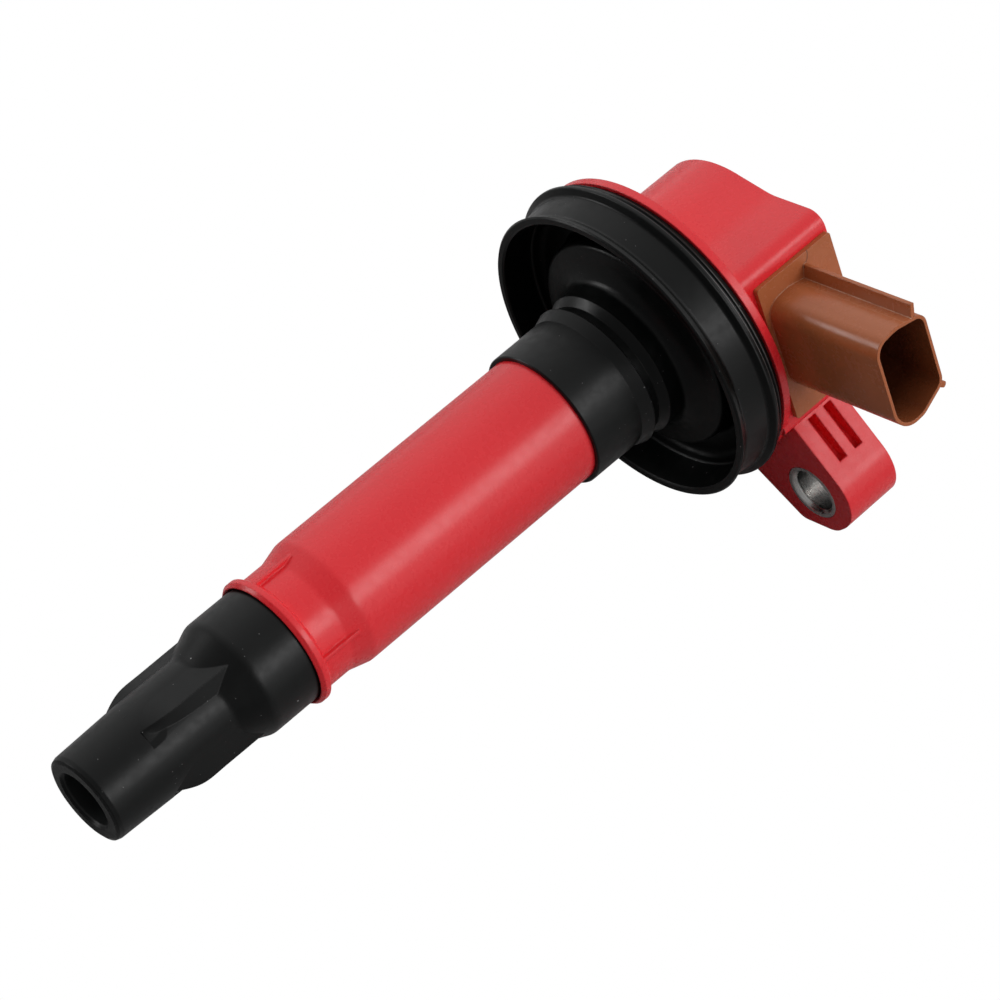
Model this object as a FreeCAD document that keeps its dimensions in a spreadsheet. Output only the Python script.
import FreeCAD, Part
import math
import os
import Sketcher

# Pencil type ignition coil: a long coil tube with a spark plug boot at its lower end
# and a head with connector, bolt lug and igniter electronics at its upper end.
# +Z runs along the coil axis from the spark plug (down) towards the head (up).
# The origin lies on the coil axis in the seat plane of the bolt lug.
# The connector mouth points along -Y.

os.makedirs("parts", exist_ok=True)
doc = FreeCAD.newDocument("ignition_coil")

# alias, value, what it measures
DIMENSIONS = [
    # coil tube
    ("tube_front_z", -85.4, "lower edge of the collar lip"),
    ("lip_rear_z", -83.55, "upper edge of the collar lip"),
    ("lip_radius", 11.05, "outer radius of the collar lip"),
    ("neck_radius", 10.02, "outer radius of the neck above the lip"),
    ("neck_rear_z", -78.4, "upper end of the straight neck"),
    ("body_front_z", -74.4, "lower end of the straight tube"),
    ("body_radius", 11.0, "outer radius of the straight tube"),
    ("tube_bore", 9.55, "bore radius of the straight tube"),
    ("neck_bore", 8.62, "bore radius in the neck"),
    ("lip_bore", 10.2, "bore radius inside the collar lip"),
    ("tube_rim_radius", 12.6, "rim that hangs the tube in the head"),
    ("tube_rim_low_z", 1.2, "underside of the hanging rim"),
    ("tube_rim_top_z", 2.4, "top of the hanging rim"),
    ("rib_thickness", 0.62, "thickness of a neck rib"),
    ("rib_radius", 10.82, "outer radius of the neck ribs"),
    ("rib_length", 7.55, "length of a neck rib along the axis"),
    # boot
    ("boot_tip_z", -122.2, "tip face of the boot"),
    ("boot_tip_radius", 7.45, "radius at the tip"),
    ("boot_core_radius", 7.78, "radius between the grip wings"),
    ("boot_wing_radius", 9.3, "outer radius of the grip wings"),
    ("boot_upper_radius", 10.08, "radius of the upper boot"),
    ("boot_shoulder_z", -84.6, "shoulder that meets the neck"),
    ("boot_spigot_radius", 8.58, "radius of the spigot in the neck"),
    ("boot_spigot_z", -73.2, "upper end of the spigot"),
    ("boot_bore", 4.7, "bore radius that grips the plug insulator"),
    ("boot_bore_end_z", -106.0, "upper end of the gripping bore"),
    ("boot_spring_bore", 3.7, "bore radius around the contact spring"),
    # seal
    ("seal_front_z", -28.75, "lower edge of the sleeve"),
    ("seal_inner", 11.06, "inner radius of the sleeve"),
    ("seal_sleeve_radius", 11.8, "outer radius of the sleeve"),
    ("seal_rim_radius", 25.96, "outer radius of the lower rim of the cup"),
    ("seal_cup_z", -12.4, "lower rim of the cup"),
    ("seal_lip_radius", 26.9, "outer radius of the upper lip"),
    ("seal_rear_z", -2.95, "upper face under the flange"),
    # head
    ("flange_radius", 25.72, "outer radius of the head flange"),
    ("flange_low_z", -2.8, "underside of the flange"),
    ("flange_thickness", 1.4, "thickness of the flange edge"),
    ("boss_radius", 17.4, "outer radius of the round head"),
    ("boss_half_width", 15.0, "half width of the connector block"),
    ("boss_front_y", -22.1, "outer face of the connector block"),
    ("head_top_z", 16.3, "top rim of the head"),
    ("head_wall", 2.0, "wall thickness of the head"),
    ("head_floor_z", 1.2, "floor of the potting chamber"),
    ("floor_bore", 11.06, "radius of the hole in the floor for the tube"),
    ("lug_angle", -35.5, "direction of the bolt lug"),
    ("lug_reach", 35.34, "bolt axis distance from the coil axis"),
    ("lug_half_width", 8.4, "half width of the lug"),
    ("lug_end", 42.75, "end of the lug"),
    ("lug_height", 10.4, "height of the lug and of the bushing"),
    ("lug_corner", 7.0, "corner radius of the lug"),
    # bushing
    ("bushing_outer", 4.9, "outer radius of the bushing"),
    ("bushing_bore", 3.65, "bore radius of the bushing"),
    ("bushing_mouth", 4.1, "radius of the widened mouth"),
    # connector
    ("plate_half_width", 12.45, "half width of the connector plate"),
    ("plate_centre_x", 0.5, "middle of the connector plate"),
    ("plate_low_z", 0.0, "lower edge of the plate"),
    ("plate_high_z", 16.0, "upper edge of the plate"),
    ("plate_thickness", 0.9, "visible thickness of the plate"),
    ("plug_half_width", 9.95, "half width of the plug in the head wall"),
    ("plug_low_z", 2.25, "lower face of the plug"),
    ("plug_high_z", 13.75, "upper face of the plug"),
    ("plug_corner", 0.95, "corner radius of the plug"),
    ("shroud_mouth_y", -45.5, "mouth of the connector shroud"),
    ("shroud_floor_y", -28.5, "floor of the connector shroud"),
    ("blade_tip_y", -39.5, "tip of the terminal blades"),
    ("blade_tail_y", -12.0, "inner end of the terminal blades"),
    ("blade_width", 2.3, "blade width"),
    ("blade_thickness", 0.64, "blade thickness"),
    ("blade_pitch", 4.2, "distance between neighbouring blades"),
    ("blade_z", 5.6, "middle height of the blades"),
    ("blade_mid_x", -0.4, "middle blade position"),
    # magnetic circuit and windings
    ("core_radius", 3.7, "radius of the centre core"),
    ("core_low_z", -65.6, "lower end of the centre core"),
    ("core_high_z", -16.4, "upper end of the centre core"),
    ("magnet_height", 3.0, "height of an end magnet"),
    ("cushion_height", 1.0, "height of an end cushion"),
    ("sec_bobbin_inner", 3.8, "inner radius of the secondary bobbin"),
    ("sec_bobbin_outer", 4.5, "outer radius of the secondary bobbin"),
    ("sec_flange_radius", 6.35, "flange radius of the secondary bobbin"),
    ("coil_low_z", -71.0, "lower end of the winding set"),
    ("coil_high_z", -11.4, "upper end of the winding set"),
    ("pri_bobbin_inner", 6.45, "inner radius of the primary bobbin"),
    ("pri_bobbin_outer", 7.0, "outer radius of the primary bobbin"),
    ("pri_flange_radius", 8.55, "flange radius of the primary bobbin"),
    ("pri_winding_radius", 8.2, "outer radius of the primary winding"),
    ("winding_gap", 0.02, "gap between a bobbin and its winding"),
    ("outer_core_inner", 8.65, "inner radius of the outer core"),
    ("outer_core_outer", 9.45, "outer radius of the outer core"),
    # high voltage path
    ("hv_plate_thickness", 0.8, "thickness of the high voltage terminal plate"),
    ("resistor_radius", 2.5, "radius of the suppressor resistor"),
    ("resistor_low_z", -86.6, "lower end of the resistor"),
    ("spring_radius", 2.55, "mean radius of the contact spring"),
    ("wire_radius", 0.4, "wire radius of the contact spring"),
    ("spring_top_z", -87.05, "upper wire centre of the spring"),
    ("spring_height", 17.2, "wire centre to wire centre height"),
    ("spring_pitch", 2.6, "pitch of the contact spring"),
    # electronics and potting
    ("board_z", 8.6, "underside of the igniter board"),
    ("board_thickness", 1.0, "thickness of the igniter board"),
    ("transistor_height", 2.2, "height of the power transistor"),
    ("capacitor_height", 4.2, "height of the suppression capacitor"),
    ("potting_top_z", 15.3, "top surface of the potting"),
    ("potting_gap", 0.03, "gap around the potting"),
]

HEAD_CUT = 20.0  # depth of cuts that run out of the head, the lug or the shroud


# ---------------------------------------------------------------- driving dimensions
class Driven(float):
    """A number that remembers its spreadsheet formula. Keep it on the left of + - * /."""

    def __new__(cls, value, formula):
        number = super().__new__(cls, value)
        number.formula = formula
        return number

    def joined(self, value, sign, other):
        right = getattr(other, "formula", "(%.6f)" % other)
        return Driven(value, "(%s %s %s)" % (self.formula, sign, right))

    def __add__(self, other):
        return self.joined(super().__add__(other), "+", other)

    def __sub__(self, other):
        return self.joined(super().__sub__(other), "-", other)

    def __mul__(self, other):
        return self.joined(super().__mul__(other), "*", other)

    def __truediv__(self, other):
        return self.joined(super().__truediv__(other), "/", other)

    def __neg__(self):
        return Driven(super().__neg__(), "(-%s)" % self.formula)


class Dimensions:
    """Writes the spreadsheet and holds each alias as a Driven number."""

    def __init__(self, rows):
        sheet = doc.addObject("Spreadsheet::Sheet", "Dims")
        for row, (alias, value, note) in enumerate(rows, 1):
            sheet.set("A%d" % row, note)
            sheet.set("B%d" % row, str(value))
            sheet.setAlias("B%d" % row, alias)
            setattr(self, alias, Driven(value, "Dims." + alias))
        doc.recompute()


dim = Dimensions(DIMENSIONS)


def bind(item, path, value):
    """Tie a property to the spreadsheet if the value comes from it."""
    if isinstance(value, Driven):
        item.setExpression(path, value.formula)


# ---------------------------------------------------------------- sketches
def new_sketch(body, name, plane, start=0.0, turn=0.0):
    """Sketch on XY, XZ or YZ, moved by start along its normal (+Z, -Y or +X)
    and turned by turn degrees about the coil axis."""
    sketch = body.newObject("Sketcher::SketchObject", name)
    support = next(o for o in body.Origin.OriginFeatures if o.Role == plane + "_Plane")
    sketch.AttachmentSupport = [(support, "")]
    sketch.MapMode = "FlatFace"
    # the coil axis is the normal of an XY sketch and the vertical of the other two
    axis = FreeCAD.Vector(0, 0, 1) if plane == "XY" else FreeCAD.Vector(0, 1, 0)
    rotation = FreeCAD.Rotation(axis, float(turn))
    base = rotation.multVec(FreeCAD.Vector(0, 0, float(start)))
    sketch.AttachmentOffset = FreeCAD.Placement(base, rotation)
    bind(sketch, "AttachmentOffset.Base.z", start)
    return sketch


def constrain(sketch, name, value, kind, *elements):
    index = sketch.addConstraint(Sketcher.Constraint(kind, *elements, float(value)))
    if isinstance(value, Driven):
        sketch.renameConstraint(index, name)
        bind(sketch, "Constraints." + name, value)


def pin(sketch, name, geometry, position, x, y):
    """Hold one point of the sketch at (x, y) from the origin."""
    constrain(sketch, name + "X", x, "DistanceX", -1, 1, geometry, position)
    constrain(sketch, name + "Y", y, "DistanceY", -1, 1, geometry, position)


def corner_arc(before, corner, after, radius):
    """Arc that rounds a corner: where the outline meets it, where it leaves it,
    the arc, and the numbers of the arc ends at those two points."""
    back = (before - corner).normalize()
    ahead = (after - corner).normalize()
    half = back.getAngle(ahead) / 2.0
    meet = corner + back * (radius / math.tan(half))
    leave = corner + ahead * (radius / math.tan(half))
    centre = corner + (back + ahead).normalize() * (radius / math.sin(half))
    first = math.atan2(meet.y - centre.y, meet.x - centre.x)
    last = math.atan2(leave.y - centre.y, leave.x - centre.x)
    ends = (1, 2)
    if back.cross(ahead).z >= 0:  # right turn: the arc runs against the outline
        first, last = last, first
        ends = (2, 1)
    if last < first:
        last += 2 * math.pi
    full = Part.Circle(centre, FreeCAD.Vector(0, 0, 1), radius)
    return meet, leave, Part.ArcOfCircle(full, first, last), ends


def outline(sketch, corners):
    """Closed outline. Each corner is (x, y) or (x, y, corner radius)."""
    count = len(corners)
    points = [FreeCAD.Vector(float(c[0]), float(c[1]), 0) for c in corners]
    joints = []
    for i, corner in enumerate(corners):
        if len(corner) > 2 and corner[2] > 0:
            joints.append(corner_arc(points[i - 1], points[i], points[(i + 1) % count],
                                     float(corner[2])))
        else:
            joints.append((points[i], points[i], None, None))
    lines = [sketch.addGeometry(Part.LineSegment(joints[i][1], joints[(i + 1) % count][0]),
                                False) for i in range(count)]
    for i, corner in enumerate(corners):
        name = "point%d" % i
        line_in, line_out = lines[i - 1], lines[i]
        arc, ends = joints[i][2:]
        if arc is None:
            sketch.addConstraint(Sketcher.Constraint("Coincident", line_in, 2, line_out, 1))
            pin(sketch, name, line_out, 1, corner[0], corner[1])
            continue
        arc = sketch.addGeometry(arc, False)
        # construction point where the two sides would meet
        apex = sketch.addGeometry(Part.Point(points[i]), True)
        for rule in (("Tangent", line_in, 2, arc, ends[0]),
                     ("Tangent", arc, ends[1], line_out, 1),
                     ("PointOnObject", apex, 1, line_in),
                     ("PointOnObject", apex, 1, line_out)):
            sketch.addConstraint(Sketcher.Constraint(*rule))
        pin(sketch, name, apex, 1, corner[0], corner[1])
        constrain(sketch, name + "R", corner[2], "Radius", arc)


def draw(sketch, profile):
    """A list of corners is an outline, a tuple (x, y, radius) is a circle."""
    if isinstance(profile, list):
        outline(sketch, profile)
        return
    x, y, radius = profile
    centre = FreeCAD.Vector(float(x), float(y), 0)
    ring = Part.Circle(centre, FreeCAD.Vector(0, 0, 1), float(radius))
    geometry = sketch.addGeometry(ring, False)
    pin(sketch, "centre", geometry, 3, x, y)
    constrain(sketch, "centreR", radius, "Radius", geometry)


def rectangle(x_low, x_high, y_low, y_high, corner=0.0):
    return [(x_low, y_low, corner), (x_high, y_low, corner),
            (x_high, y_high, corner), (x_low, y_high, corner)]


# ---------------------------------------------------------------- features
parts = {}


def new_part(label):
    body = doc.addObject("PartDesign::Body", label)
    body.Label = label
    parts[label] = body
    return body


def revolve(body, name, profile, cut=False):
    """Full turn about the Z axis of a profile given as (radius, z)."""
    sketch = new_sketch(body, name + "_profile", "XZ")
    draw(sketch, profile)
    kind = "PartDesign::Groove" if cut else "PartDesign::Revolution"
    feature = body.newObject(kind, name)
    feature.Profile = sketch
    feature.ReferenceAxis = (sketch, ["V_Axis"])
    feature.Angle = 360.0


def extrude(body, name, profile, plane, start, length, cut=False, turn=0.0):
    """Pad or pocket that runs from start along the sketch normal."""
    sketch = new_sketch(body, name + "_profile", plane, start, turn)
    draw(sketch, profile)
    feature = body.newObject("PartDesign::Pocket" if cut else "PartDesign::Pad", name)
    feature.Profile = sketch
    feature.Length = float(length)
    bind(feature, "Length", length)
    # a pocket cuts against the sketch normal unless it is reversed
    feature.Reversed = cut


def turned(label, profile):
    """Part made of a single revolved section."""
    revolve(new_part(label), label + "_section", profile)


# ---------------------------------------------------------------- coil tube
def coil_tube():
    body = new_part("coil_tube")
    # radius, z, corner radius
    revolve(body, "tube_wall", [
        (dim.lip_bore, dim.tube_front_z + 0.25),
        (dim.lip_bore + 0.25, dim.tube_front_z),
        (dim.lip_radius - 0.5, dim.tube_front_z),
        (dim.lip_radius, dim.tube_front_z + 0.6),
        (dim.lip_radius, dim.lip_rear_z - 0.35),
        (dim.lip_radius - 0.35, dim.lip_rear_z),
        (dim.neck_radius, dim.lip_rear_z + 0.35),
        (dim.neck_radius, dim.neck_rear_z, 2.5),
        (dim.body_radius, dim.body_front_z - 0.4, 3.0),
        (dim.body_radius, dim.tube_rim_low_z),
        (dim.tube_rim_radius, dim.tube_rim_low_z),
        (dim.tube_rim_radius, dim.tube_rim_top_z),
        (dim.tube_bore, dim.tube_rim_top_z),
        (dim.tube_bore, dim.body_front_z + 1.6),
        (dim.neck_bore, dim.body_front_z - 0.2),
        (dim.neck_bore, dim.boot_shoulder_z + 0.1),
        (dim.lip_bore, dim.boot_shoulder_z + 0.1),
    ])
    # four thin ribs between the lip and the cone, a quarter turn apart
    half = dim.rib_thickness / 2
    rib = rectangle(dim.neck_bore + 0.7, dim.rib_radius, -half, half)
    for k in range(4):
        extrude(body, "neck_rib_%d" % k, rib, "XY", dim.lip_rear_z - 0.5, dim.rib_length,
                turn=-92.5 + 90.0 * k)


# ---------------------------------------------------------------- boot
# sections of a grip wing: z, crest radius, crest angle, foot angle of the steep flank
WING_SECTIONS = [
    (-111.5, dim.boot_core_radius - 0.06, -58.5, -54.5),
    (-109.6, dim.boot_wing_radius - 0.80, -55.2, -47.0),
    (-107.4, dim.boot_wing_radius - 0.14, -52.8, -42.0),
    (-104.5, dim.boot_wing_radius, -52.3, -38.5),
    (-100.0, dim.boot_wing_radius, -52.2, -36.0),
    (-96.0, dim.boot_wing_radius, -52.0, -34.4),
    (-92.8, dim.boot_wing_radius, -51.0, -33.4),
]


def wing_outline(crest_radius, crest_angle, foot_angle):
    """Round core with four one-sided wings: a long flat, a crest, a steep flank."""
    core = float(dim.boot_core_radius)
    wing = ((core - 0.02, -86.0), (float(crest_radius), crest_angle),
            (core - 0.12, foot_angle), (core - 0.12, -24.0), (core - 0.12, -9.0))
    corners = []
    for k in range(4):
        for radius, degrees in wing:
            angle = math.radians(degrees + 90.0 * k)
            corners.append((radius * math.cos(angle), radius * math.sin(angle)))
    return corners


def spark_plug_boot():
    body = new_part("spark_plug_boot")
    # radius, z, corner radius
    revolve(body, "boot_wall", [
        (0.0, dim.boot_tip_z),
        (dim.boot_tip_radius - 0.75, dim.boot_tip_z),
        (dim.boot_tip_radius - 0.22, dim.boot_tip_z + 0.25),
        (dim.boot_tip_radius, dim.boot_tip_z + 0.95),
        (dim.boot_core_radius, -110.0),
        (dim.boot_core_radius, -99.0, 2.2),
        (dim.boot_upper_radius, -93.6, 3.0),
        (dim.boot_upper_radius, dim.boot_shoulder_z),
        (dim.boot_spigot_radius, dim.boot_shoulder_z),
        (dim.boot_spigot_radius, dim.boot_spigot_z - 0.6),
        (dim.boot_spigot_radius - 0.6, dim.boot_spigot_z),
        (0.0, dim.boot_spigot_z),
    ])
    # a shallow flat at the foot of each wing, its lower edge square to the axis
    foot_low_z, foot_high_z, foot_width = -111.6, -106.4, 3.0
    foot = [(dim.boot_core_radius - 0.4, foot_low_z), (dim.boot_core_radius + 1.0, foot_low_z),
            (dim.boot_core_radius + 1.0, foot_high_z), (dim.boot_core_radius + 0.2, foot_high_z)]
    for k in range(4):
        extrude(body, "wing_foot_%d" % k, foot, "XZ", -foot_width / 2, foot_width,
                cut=True, turn=-47.0 + 90.0 * k)

    rings = []
    for i, (z, *section) in enumerate(WING_SECTIONS):
        sketch = new_sketch(body, "wing_section_%d" % i, "XY", z)
        draw(sketch, wing_outline(*section))
        rings.append(sketch)
    wings = body.newObject("PartDesign::AdditiveLoft", "grip_wings")
    wings.Profile = rings[0]
    wings.Sections = rings[1:]
    wings.Ruled = False

    # radius, z; the hole runs past the tip and stays closed at the spigot end
    hole_top_z = dim.boot_spigot_z + 1.0
    revolve(body, "boot_hole", [
        (0.0, dim.boot_tip_z - 1.0),
        (dim.boot_bore + 0.45, dim.boot_tip_z - 1.0),
        (dim.boot_bore + 0.45, dim.boot_tip_z),
        (dim.boot_bore, dim.boot_tip_z + 0.55),
        (dim.boot_bore, dim.boot_bore_end_z),
        (dim.boot_bore - 0.45, dim.boot_bore_end_z),
        (dim.boot_bore - 0.45, dim.boot_bore_end_z + 4.6),
        (dim.boot_spring_bore, dim.boot_bore_end_z + 6.0),
        (dim.boot_spring_bore, hole_top_z),
        (0.0, hole_top_z),
    ], cut=True)


# ---------------------------------------------------------------- well seal
def well_seal():
    # radius, z, corner radius
    turned("well_seal", [
        # outside of the sleeve, with a groove near its upper end
        (dim.seal_inner, dim.seal_front_z),
        (dim.seal_sleeve_radius - 0.2, dim.seal_front_z),
        (dim.seal_sleeve_radius - 0.03, dim.seal_front_z + 0.2),
        (dim.seal_sleeve_radius, -19.3),
        (12.55, -17.2), (12.4, -17.0), (11.65, -17.0), (11.65, -15.3),
        (11.83, -15.1), (12.7, -14.0), (12.65, -13.7), (12.75, -10.9, 1.6),
        # underside and inside of the cup
        (14.6, -9.5, 6.0), (18.5, -8.95, 0.75), (19.0, -4.95, 0.5),
        (23.2, -4.95, 1.5), (23.9, -6.55), (24.1, -6.75),
        # lower rim of the cup
        (24.55, dim.seal_cup_z + 0.25),
        (24.85, dim.seal_cup_z),
        (dim.seal_rim_radius - 0.25, dim.seal_cup_z),
        (dim.seal_rim_radius, dim.seal_cup_z + 0.3),
        (25.66, dim.seal_cup_z + 1.1, 0.6),
        (25.1, -10.8, 0.8), (25.75, -6.35, 0.5),
        # upper lip
        (dim.seal_lip_radius, -5.7, 0.3),
        (dim.seal_lip_radius, -5.05, 0.3),
        (26.15, -4.75, 0.1), (26.15, -4.5, 0.1), (26.45, -4.2, 0.1),
        (26.1, -3.95, 0.1), (25.5, -3.5),
        # upper side, with a ring groove around the sleeve
        (25.3, dim.seal_rear_z),
        (23.4, dim.seal_rear_z),
        (23.4, -3.6), (18.0, -3.6), (17.3, -7.3), (14.6, -7.7), (13.3, -8.6),
        (13.3, dim.seal_rear_z),
        (dim.seal_inner, dim.seal_rear_z),
    ])


# ---------------------------------------------------------------- head housing
def chamber_outline(inset):
    """Part of the chamber inside the connector block, inset from its outer faces."""
    side = dim.boss_half_width - inset
    front = dim.boss_front_y + inset
    return [(-side, front, 1.0), (side, front, 1.0), (side, 3.0), (-side, 3.0)]


def plug_outline(gap):
    """Section of the connector plug, grown by a gap."""
    side = dim.plug_half_width + gap
    return rectangle(-side, side, dim.plug_low_z - gap, dim.plug_high_z + gap,
                     dim.plug_corner + gap)


def head_housing():
    body = new_part("head_housing")
    side = dim.boss_half_width
    # x, y, corner radius
    block = [(-side, dim.boss_front_y, 2.6), (side, dim.boss_front_y, 1.0),
             (side, -11.4, 9.0), (side + 1.62, -5.15), (side, 4.0),
             (-side, 4.0), (-side - 1.62, -5.15), (-side, -11.4, 9.0)]
    # x along the lug, y across it, corner radius
    lug = [(13.0, -dim.lug_half_width), (dim.lug_end, -dim.lug_half_width, dim.lug_corner),
           (dim.lug_end, 1.4, 5.0), (38.5, 7.35, 2.5), (13.0, 13.4)]
    base_z = dim.flange_low_z + 0.4
    height = dim.head_top_z - base_z
    extrude(body, "flange", (0.0, 0.0, dim.flange_radius), "XY",
            dim.flange_low_z, dim.flange_thickness)
    extrude(body, "round_head", (0.0, 0.0, dim.boss_radius), "XY", base_z, height)
    extrude(body, "connector_block", block, "XY", base_z, height)
    extrude(body, "lug", lug, "XY", 0.0, dim.lug_height, turn=dim.lug_angle)
    extrude(body, "lug_root", rectangle(12.0, 21.5, -8.0, 8.0), "XY", -2.0, 2.5,
            turn=dim.lug_angle)
    extrude(body, "lug_hole", (dim.lug_reach, 0.0, dim.bushing_outer), "XY", -4.0, HEAD_CUT,
            cut=True, turn=dim.lug_angle)

    extrude(body, "chamber_round", (0.0, 0.0, dim.boss_radius - dim.head_wall), "XY",
            dim.head_floor_z, HEAD_CUT, cut=True)
    extrude(body, "chamber_block", chamber_outline(dim.head_wall), "XY",
            dim.head_floor_z, HEAD_CUT, cut=True)
    extrude(body, "floor_hole", (0.0, 0.0, dim.floor_bore), "XY", -5.0, 8.0, cut=True)
    extrude(body, "connector_window", plug_outline(0.05), "XZ", 19.0, 5.0, cut=True)

    # two slots, one above the other, in the flank of the lug
    slot = [(25.2, -9.4), (33.4, -9.4), (33.4, -6.6), (25.2, -5.6)]
    slot_height = 1.65
    for k, z in enumerate((2.75, 6.25)):
        extrude(body, "lug_slot_%d" % k, slot, "XY", z, slot_height,
                cut=True, turn=dim.lug_angle)


# ---------------------------------------------------------------- bushing
def mount_bushing():
    body = new_part("mount_bushing")
    # radius, z, corner radius
    revolve(body, "bushing_wall", [
        (dim.bushing_bore, 0.75, 0.7),
        (dim.bushing_mouth, 0.12, 0.3),
        (dim.bushing_mouth + 0.12, 0.0),
        (dim.bushing_outer - 0.15, 0.0),
        (dim.bushing_outer, 0.15),
        (dim.bushing_outer, dim.lug_height - 0.15),
        (dim.bushing_outer - 0.15, dim.lug_height),
        (dim.bushing_mouth, dim.lug_height),
        (dim.bushing_bore, dim.lug_height - 0.8),
    ])
    angle = math.radians(dim.lug_angle)
    reach = float(dim.lug_reach)
    bolt_axis = FreeCAD.Vector(reach * math.cos(angle), reach * math.sin(angle), 0)
    body.Placement = FreeCAD.Placement(bolt_axis, FreeCAD.Rotation())
    body.setExpression("Placement.Base.x", "Dims.lug_reach * cos(Dims.lug_angle * 1 deg)")
    body.setExpression("Placement.Base.y", "Dims.lug_reach * sin(Dims.lug_angle * 1 deg)")


# ---------------------------------------------------------------- connector
def blade_x(step):
    """Middle of the blade that lies step pitches from the middle one."""
    return dim.blade_mid_x + dim.blade_pitch * step


def connector_shell():
    body = new_part("connector_shell")
    # x, z, corner radius
    plate = rectangle(-dim.plate_half_width + dim.plate_centre_x,
                      dim.plate_half_width + dim.plate_centre_x,
                      dim.plate_low_z, dim.plate_high_z, 0.5)
    shroud = [(-8.45, 0.75, 2.9), (8.45, 0.75, 3.9), (8.15, 6.3, 3.0),
              (5.65, 11.4, 2.3), (-7.65, 11.5, 2.2), (-8.95, 5.6, 7.0)]
    cavity = [(-7.93, 1.3, 2.4), (7.88, 1.3, 3.35), (7.58, 6.2, 2.6),
              (5.3, 10.87, 1.8), (-7.2, 10.95, 1.7), (-8.38, 5.6, 6.5)]
    ridge = [(-7.6, 8.75), (-10.3, 9.55, 0.15), (-10.3, 10.25, 0.15), (-7.3, 9.55)]
    nub = [(4.9, 10.6), (6.0, 11.95, 0.4), (6.8, 11.3, 0.4), (5.9, 10.2)]

    # an XZ sketch faces -Y, so distances towards the mouth are positive
    face = -dim.boss_front_y
    mouth = -dim.shroud_mouth_y
    shroud_start = face + 0.5
    shroud_length = mouth - shroud_start
    extrude(body, "plate", plate, "XZ", face, dim.plate_thickness)
    extrude(body, "plug", plug_outline(0.0), "XZ", face - 2.6, 2.8)
    extrude(body, "shroud", shroud, "XZ", shroud_start, shroud_length)
    extrude(body, "ridge", ridge, "XZ", shroud_start, shroud_length - 0.1)
    extrude(body, "nub", nub, "XZ", mouth - 1.5, 1.45)
    extrude(body, "cavity", cavity, "XZ", -dim.shroud_floor_y, HEAD_CUT, cut=True)

    half_width = dim.blade_width / 2
    half_thickness = dim.blade_thickness / 2
    for k, step in enumerate((-1, 0, 1)):
        slot = rectangle(blade_x(step) - half_width, blade_x(step) + half_width,
                         dim.blade_z - half_thickness, dim.blade_z + half_thickness)
        extrude(body, "blade_slot_%d" % k, slot, "XZ", 10.0, 25.0, cut=True)


def terminals():
    tip, tail, z = dim.blade_tip_y, dim.blade_tail_y, dim.blade_z
    low = z - dim.blade_thickness / 2
    high = z + dim.blade_thickness / 2
    # y, z: tapered tip at the mouth, straight shank
    blade = [(tip, z - 0.12), (tip + 1.1, low), (tail, low),
             (tail, high), (tip + 1.1, high), (tip, z + 0.12)]
    # solder tail that rises to the board
    riser = rectangle(tail, tail + dim.blade_thickness, low, dim.board_z)
    riser_width = 1.2
    for label, step in (("terminal_supply", -1), ("terminal_trigger", 0),
                        ("terminal_ground", 1)):
        body = new_part(label)
        extrude(body, "blade", blade, "YZ", blade_x(step) - dim.blade_width / 2,
                dim.blade_width)
        extrude(body, "tail", riser, "YZ", blade_x(step) - riser_width / 2, riser_width)


# ---------------------------------------------------------------- core and windings
def centre_core():
    """Core with a magnet and then a cushion at each end."""
    radius = dim.core_radius
    low, high = dim.core_low_z, dim.core_high_z
    magnet_low = low - dim.magnet_height
    magnet_high = high + dim.magnet_height
    turned("center_core", rectangle(0.0, radius, low, high))
    turned("lower_magnet", rectangle(0.0, radius, magnet_low, low))
    turned("upper_magnet", rectangle(0.0, radius, high, magnet_high))
    turned("lower_core_cushion",
           rectangle(0.0, radius - 0.2, magnet_low - dim.cushion_height, magnet_low))
    turned("upper_core_cushion",
           rectangle(0.0, radius - 0.2, magnet_high, magnet_high + dim.cushion_height))


def windings():
    low, high = dim.coil_low_z, dim.coil_high_z
    cup_floor = dim.core_low_z - dim.magnet_height - dim.cushion_height
    flange = 1.2
    turned("secondary_bobbin", [
        (0.0, low), (dim.sec_flange_radius, low),
        (dim.sec_flange_radius, low + flange), (dim.sec_bobbin_outer, low + flange),
        (dim.sec_bobbin_outer, high - flange), (dim.sec_flange_radius, high - flange),
        (dim.sec_flange_radius, high), (dim.sec_bobbin_inner, high),
        (dim.sec_bobbin_inner, cup_floor), (0.0, cup_floor)])
    # the secondary winding grows thicker towards the top
    inner = dim.sec_bobbin_outer + dim.winding_gap
    turned("secondary_winding", [
        (inner, low + 1.5), (dim.sec_bobbin_outer + 1.0, low + 1.5),
        (dim.sec_bobbin_outer + 1.6, high - 1.5), (inner, high - 1.5)])
    flange = 1.0
    turned("primary_bobbin", [
        (dim.pri_bobbin_inner, low), (dim.pri_flange_radius, low),
        (dim.pri_flange_radius, low + flange), (dim.pri_bobbin_outer, low + flange),
        (dim.pri_bobbin_outer, high - flange), (dim.pri_flange_radius, high - flange),
        (dim.pri_flange_radius, high), (dim.pri_bobbin_inner, high)])
    turned("primary_winding",
           rectangle(dim.pri_bobbin_outer + dim.winding_gap, dim.pri_winding_radius,
                     low + 1.2, high - 1.2))


def outer_core():
    """Sleeve around the windings, slit along its whole length on the +X side."""
    body = new_part("outer_core")
    revolve(body, "sleeve", rectangle(dim.outer_core_inner, dim.outer_core_outer,
                                      dim.coil_low_z, dim.coil_high_z))
    extrude(body, "slit", rectangle(7.0, 11.0, -0.6, 0.6), "XY", -75.0, 70.0, cut=True)


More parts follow.
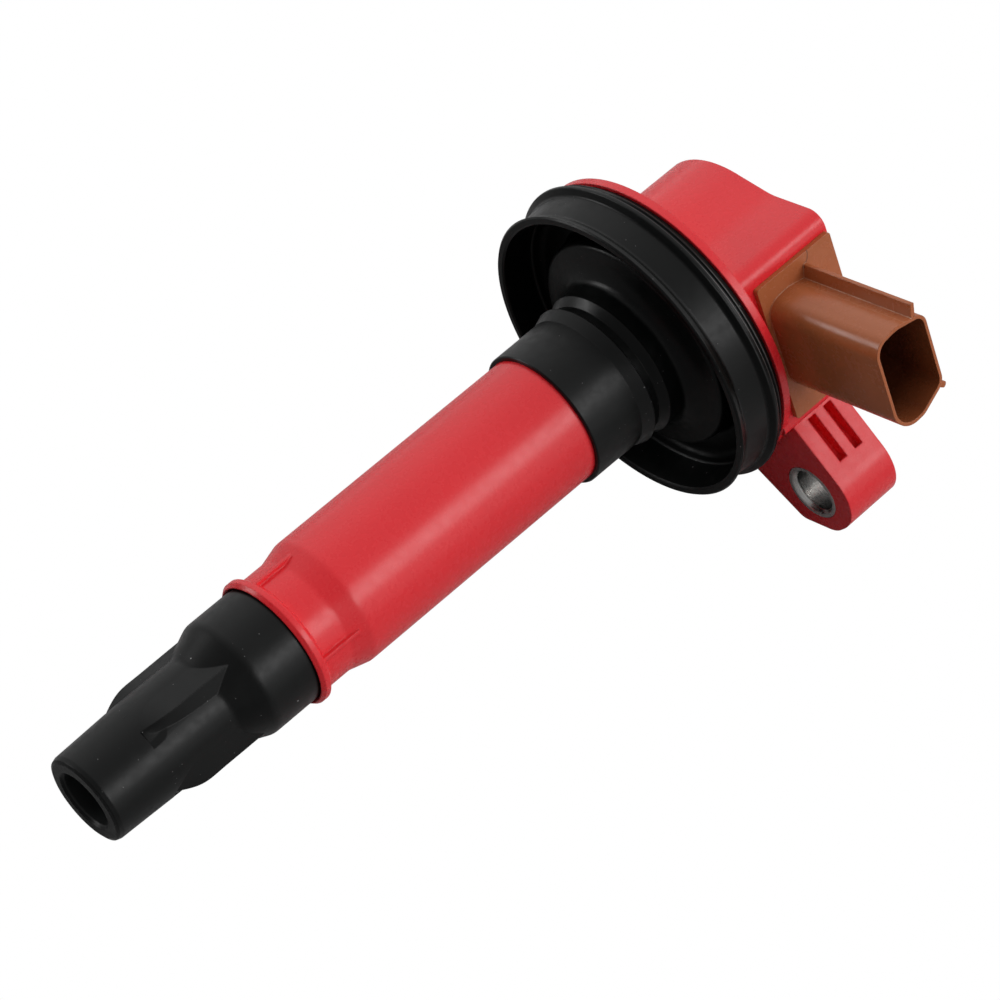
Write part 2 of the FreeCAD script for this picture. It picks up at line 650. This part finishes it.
# ---------------------------------------------------------------- high voltage path
def high_voltage_path():
    plate_low = dim.coil_low_z - dim.hv_plate_thickness
    # plate with a ring that hangs down around the resistor
    ring_inner, ring_outer, ring_low_z = 2.6, 3.1, -76.2
    plate_radius = 6.0
    turned("high_voltage_terminal", [
        (0.0, plate_low), (ring_inner, plate_low), (ring_inner, ring_low_z),
        (ring_outer, ring_low_z), (ring_outer, plate_low), (plate_radius, plate_low),
        (plate_radius, dim.coil_low_z), (0.0, dim.coil_low_z)])
    radius, low, chamfer = dim.resistor_radius, dim.resistor_low_z, 0.3
    turned("suppressor_resistor", [
        (0.0, low), (radius - chamfer, low), (radius, low + chamfer),
        (radius, plate_low - chamfer), (radius - chamfer, plate_low), (0.0, plate_low)])


def contact_spring():
    """Helical spring with a closed ring at its top; the lower ring is its own part."""
    bottom_z = dim.spring_top_z - dim.spring_height
    body = new_part("contact_spring")
    revolve(body, "top_coil", (dim.spring_radius, dim.spring_top_z, dim.wire_radius))
    sketch = new_sketch(body, "wire_profile", "XZ")
    draw(sketch, (dim.spring_radius, bottom_z, dim.wire_radius))
    coils = body.newObject("PartDesign::AdditiveHelix", "active_coils")
    coils.Profile = sketch
    coils.ReferenceAxis = (sketch, ["V_Axis"])
    coils.Mode = 0  # pitch, height and cone angle
    coils.Pitch = float(dim.spring_pitch)
    coils.Height = float(dim.spring_height)
    bind(coils, "Pitch", dim.spring_pitch)
    bind(coils, "Height", dim.spring_height)
    coils.Angle = 0
    coils.LeftHanded = False
    coils.Reversed = False

    turned("spring_end_coil", (dim.spring_radius, bottom_z - 0.85, dim.wire_radius))


# ---------------------------------------------------------------- electronics in the head
def electronics():
    board_top = dim.board_z + dim.board_thickness
    # label, (x low, x high, y low, y high), underside, height
    blocks = [
        ("igniter_board", (-9.5, 9.5, -13.5, 9.0), dim.board_z, dim.board_thickness),
        ("power_transistor", (-5.2, 4.8, -7.0, 2.0), board_top, dim.transistor_height),
        ("heat_spreader", (-7.0, 7.0, -9.0, 6.0), board_top + dim.transistor_height, 1.0),
        ("suppression_capacitor", (-7.5, 7.0, 1.0, 7.0),
         dim.board_z - dim.capacitor_height, dim.capacitor_height),
    ]
    for label, sides, underside, height in blocks:
        extrude(new_part(label), label + "_block", rectangle(*sides), "XY", underside, height)


# ---------------------------------------------------------------- potting
def plug_space():
    """Box that keeps the resin clear of the connector plug."""
    gap = dim.potting_gap
    side = dim.plug_half_width + gap
    x, y, z = -side, dim.boss_front_y + 0.65, dim.plug_low_z - gap
    box = doc.addObject("Part::Box", "plug_space")
    box.Placement.Base = FreeCAD.Vector(float(x), float(y), float(z))
    for axis, value in (("x", x), ("y", y), ("z", z)):
        bind(box, "Placement.Base." + axis, value)
    length = side * 2
    height = dim.plug_high_z + gap - z
    box.Length, box.Width, box.Height = float(length), 2.0, float(height)
    bind(box, "Length", length)
    bind(box, "Height", height)
    return box


def head_potting():
    """Resin in the chamber and the upper tube, with the embedded pieces cut out of it."""
    fill = doc.addObject("PartDesign::Body", "potting_fill")
    inset = dim.head_wall + dim.potting_gap
    low = dim.tube_rim_top_z
    height = dim.potting_top_z - low
    extrude(fill, "fill_round", (0.0, 0.0, dim.boss_radius - inset), "XY", low, height)
    extrude(fill, "fill_block", chamber_outline(inset), "XY", low, height)
    extrude(fill, "fill_tube", (0.0, 0.0, dim.tube_bore - dim.potting_gap), "XY",
            dim.coil_high_z, 15.0)

    embedded = doc.addObject("Part::MultiFuse", "embedded_pieces")
    embedded.Shapes = [parts[label] for label in (
        "igniter_board", "power_transistor", "heat_spreader", "suppression_capacitor",
        "terminal_supply", "terminal_trigger", "terminal_ground")] + [plug_space()]
    potting = doc.addObject("Part::Cut", "head_potting")
    potting.Label = "head_potting"
    potting.Base = fill
    potting.Tool = embedded
    parts["head_potting"] = potting


# ---------------------------------------------------------------- build, check and export
for build in (coil_tube, spark_plug_boot, well_seal, head_housing, mount_bushing,
              connector_shell, terminals, centre_core, windings, outer_core,
              high_voltage_path, contact_spring, electronics, head_potting):
    build()
    doc.recompute()

faults = ["%s %s" % (item.Label, item.State) for item in doc.Objects
          if "Invalid" in item.State or "Error" in item.State]
for label, part in parts.items():
    shape = part.Shape
    if shape.isNull() or not shape.isValid() or shape.Volume <= 0 or not shape.Solids:
        faults.append("%s bad shape" % label)
if faults:
    raise RuntimeError("; ".join(faults))
for label, part in parts.items():
    part.Shape.exportStep("parts/%s.step" % label)
